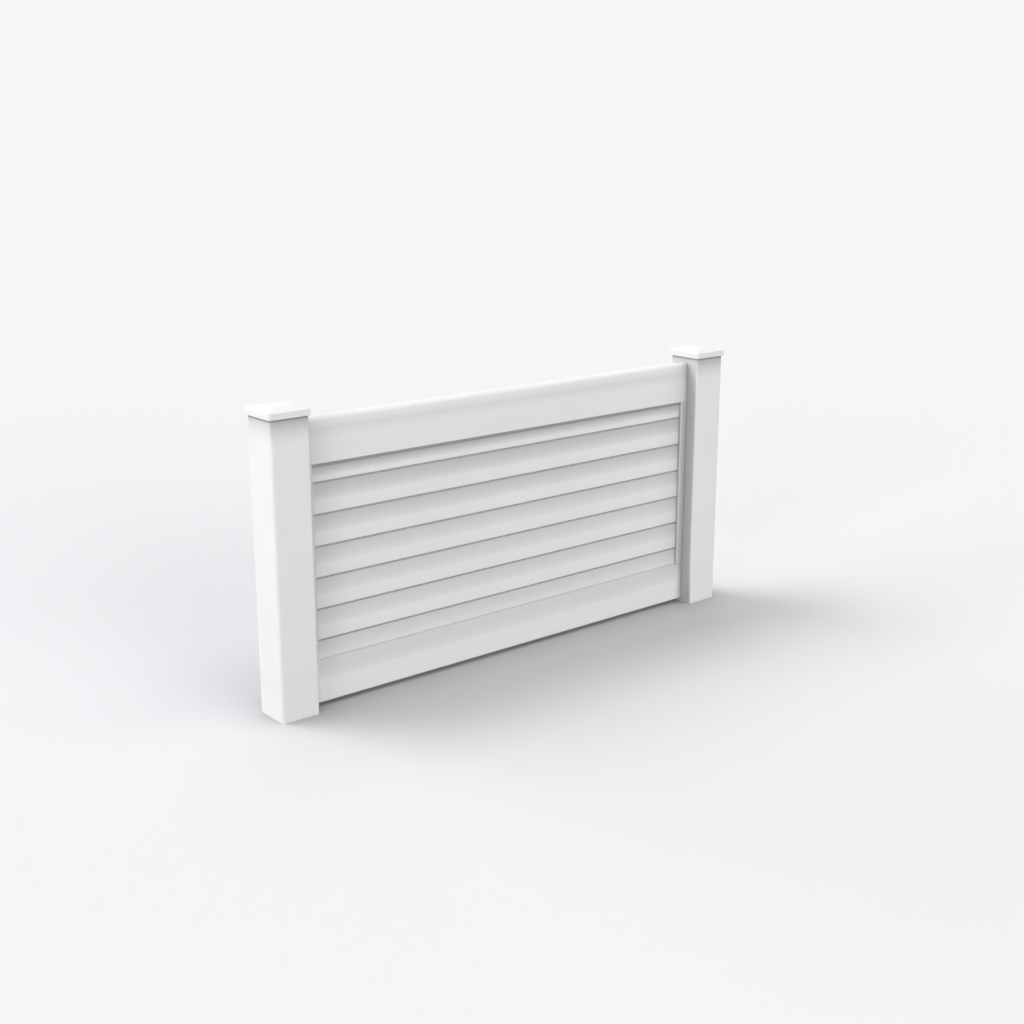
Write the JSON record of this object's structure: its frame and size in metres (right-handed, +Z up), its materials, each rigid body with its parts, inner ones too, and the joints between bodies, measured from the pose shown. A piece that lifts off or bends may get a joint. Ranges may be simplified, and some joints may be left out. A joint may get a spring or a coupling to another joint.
{
  "type": "wall topper fence panel",
  "caption": "White vinyl wall-topper fence panel: capped hollow posts, rails let into them, and interlocking louvre boards whose ends run into side channels.",
  "frame": {"origin": "on the ground, midway between the two posts and in the middle of the panel's thickness", "axes": "+X along the panel to the right as seen from the front, -Y out of the front, +Z up"},
  "size_m": [1.857, 0.138, 0.9335],
  "materials": {
    "vinyl_post": "white exterior PVC, low-sheen extruded skin",
    "vinyl_cap": "white moulded PVC, a little smoother than the posts",
    "vinyl_rail": "white exterior PVC, low-sheen extruded skin",
    "vinyl_channel": "white exterior PVC, low-sheen extruded skin",
    "vinyl_louvre": "white exterior PVC, low-sheen extruded skin",
    "aluminium_insert": "mill finish extrusion",
    "galvanised_mount": "galvanised steel weldment",
    "spacer_plastic": "black moulded plastic",
    "stainless_screws": "plain stainless steel"
  },
  "bodies": {
    "root": {"bottom_rail": "vinyl_rail", "bottom_rail_stiffener": "aluminium_insert", "left_channel_screws": "stainless_screws", "left_lower_spacer": "spacer_plastic", "left_post": "vinyl_post", "left_post_cap": "vinyl_cap", "left_post_mount": "galvanised_mount", "left_side_channel": "vinyl_channel", "left_upper_spacer": "spacer_plastic", "louvre_board_1": "vinyl_louvre", "louvre_board_2": "vinyl_louvre", "louvre_board_3": "vinyl_louvre", "louvre_board_4": "vinyl_louvre", "louvre_board_5": "vinyl_louvre", "louvre_board_6": "vinyl_louvre", "louvre_board_7": "vinyl_louvre", "right_channel_screws": "stainless_screws", "right_lower_spacer": "spacer_plastic", "right_post": "vinyl_post", "right_post_cap": "vinyl_cap", "right_post_mount": "galvanised_mount", "right_side_channel": "vinyl_channel", "right_upper_spacer": "spacer_plastic", "top_rail": "vinyl_rail"}
  },
  "joints": []
}
